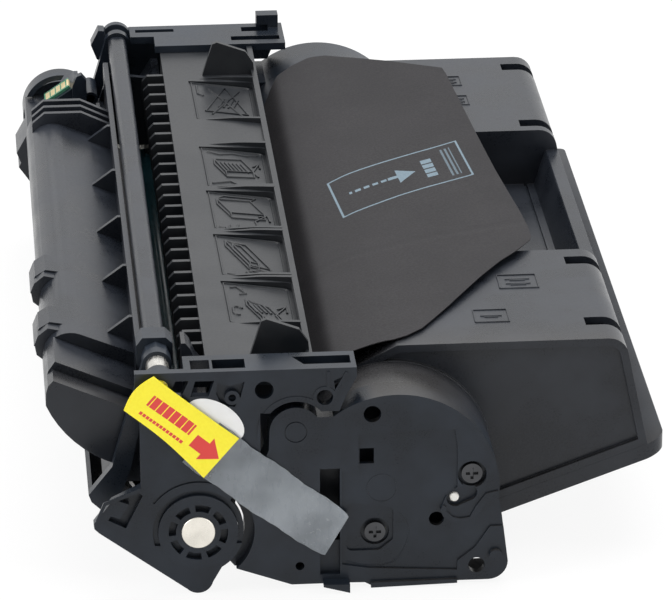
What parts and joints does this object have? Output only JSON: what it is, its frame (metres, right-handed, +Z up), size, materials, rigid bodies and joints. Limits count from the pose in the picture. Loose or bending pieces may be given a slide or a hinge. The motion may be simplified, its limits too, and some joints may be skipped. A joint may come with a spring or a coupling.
{
  "type": "toner cartridge",
  "caption": "Long black laser toner cartridge: drum unit with guide comb and waste hopper on the left, toner hopper with a handle recess on the right, pull-off seal on the near end.",
  "frame": {"origin": "on the table plane, under the middle of the cartridge's length and width", "axes": "+Y along the drum, towards the drive end; +X from the drum unit to the handle side; +Z up"},
  "size_m": [0.1852, 0.32, 0.0769],
  "materials": {
    "black_plastic": "fine matte black moulding",
    "grey_black_plastic": "mottled matte black moulding",
    "tub_plastic": "matte black moulding",
    "steel": "turned steel",
    "zinc_sheet": "plated sheet steel",
    "drum_coating": "glossy photoconductor coating",
    "white_nylon": "natural nylon",
    "charge_rubber": "smooth conductive rubber",
    "blade_rubber": "urethane",
    "sleeve_coating": "blasted and coated aluminium",
    "magnet": "bonded magnet",
    "board": "green board with gold pads",
    "film": "clear polyester film",
    "seal_film": "grey sealing tape",
    "label_paper": "yellow label with a red arrow",
    "sticker_paper": "white oval sticker",
    "sheet_paper": "dark protective paper with a pale frame",
    "screw_steel": "dark plated steel"
  },
  "bodies": {
    "drum_unit": {"near_side_plate": "black_plastic", "far_side_plate": "black_plastic", "waste_hopper": "grey_black_plastic", "comb_cover": "grey_black_plastic", "chip_housing": "black_plastic", "chip_board": "board", "drum_axle": "steel", "drum_bush": "black_plastic", "charge_bearing_near": "white_nylon", "charge_bearing_far": "white_nylon", "wiper_bracket": "zinc_sheet", "wiper_rubber": "blade_rubber", "hinge_pin_near": "steel", "hinge_pin_far": "steel", "round_sticker": "sticker_paper"},
    "drum": {"drum_tube": "drum_coating", "drum_hub": "black_plastic", "drum_gear": "white_nylon"},
    "charge_roller": {"charge_core": "steel", "charge_rubber": "charge_rubber"},
    "shutter": {"shutter_rod": "steel", "rod_sleeve": "steel", "shutter_bar": "grey_black_plastic", "drum_shutter": "black_plastic"},
    "toner_unit": {"hopper_cover": "grey_black_plastic", "hopper_tub": "tub_plastic", "near_end_cap": "black_plastic", "far_end_cap": "black_plastic", "near_cap_screws": "screw_steel", "far_cap_screws": "screw_steel", "magnet_core": "magnet", "doctor_blade": "blade_rubber", "doctor_bracket": "zinc_sheet", "fill_plug": "black_plastic", "seal_strip": "seal_film", "seal_tail": "seal_film", "pull_label": "label_paper", "light_sheet": "sheet_paper"},
    "developer": {"developer_sleeve": "sleeve_coating", "developer_gear": "white_nylon"},
    "agitator": {"agitator_shaft": "black_plastic", "agitator_film": "film", "agitator_gear": "white_nylon"},
    "idler": {"idler_gear": "white_nylon"}
  },
  "joints": [
    {"name": "drum_spin", "type": "hinge", "parent": "drum_unit", "child": "drum", "pos_m": [-0.0466, -0.006, 0.0194], "axis": [0, 1, 0], "continuous": true},
    {"name": "charge_spin", "type": "hinge", "parent": "drum_unit", "child": "charge_roller", "pos_m": [-0.06062, -0.006, 0.03116], "axis": [0, 1, 0], "continuous": true},
    {"name": "shutter_swing", "type": "hinge", "parent": "drum_unit", "child": "shutter", "pos_m": [-0.0571, -0.006, 0.0649], "axis": [0, 1, 0], "range_deg": [0, 50], "stiffness_Nm_per_rad": 0.02, "springref_deg": -68.75},
    {"name": "halves_swing", "type": "hinge", "parent": "drum_unit", "child": "toner_unit", "pos_m": [-0.0182, -0.006, 0.0498], "axis": [0, -1, 0], "range_deg": [0, 2], "stiffness_Nm_per_rad": 1, "springref_deg": -20.05},
    {"name": "developer_spin", "type": "hinge", "parent": "toner_unit", "child": "developer", "pos_m": [-0.02562, -0.006, 0.0231], "axis": [0, 1, 0], "continuous": true},
    {"name": "idler_spin", "type": "hinge", "parent": "toner_unit", "child": "idler", "pos_m": [-0.00949, 0.144, 0.02134], "axis": [0, 1, 0], "continuous": true},
    {"name": "agitator_spin", "type": "hinge", "parent": "toner_unit", "child": "agitator", "pos_m": [0.0109, -0.006, 0.0304], "axis": [0, 1, 0], "continuous": true}
  ],
  "couplings": [
    {"joint": "charge_spin", "follows": "drum_spin", "ratio": -2},
    {"joint": "developer_spin", "follows": "drum_spin", "ratio": -1.625},
    {"joint": "idler_spin", "follows": "drum_spin", "ratio": 1.625},
    {"joint": "agitator_spin", "follows": "drum_spin", "ratio": -0.92857}
  ]
}
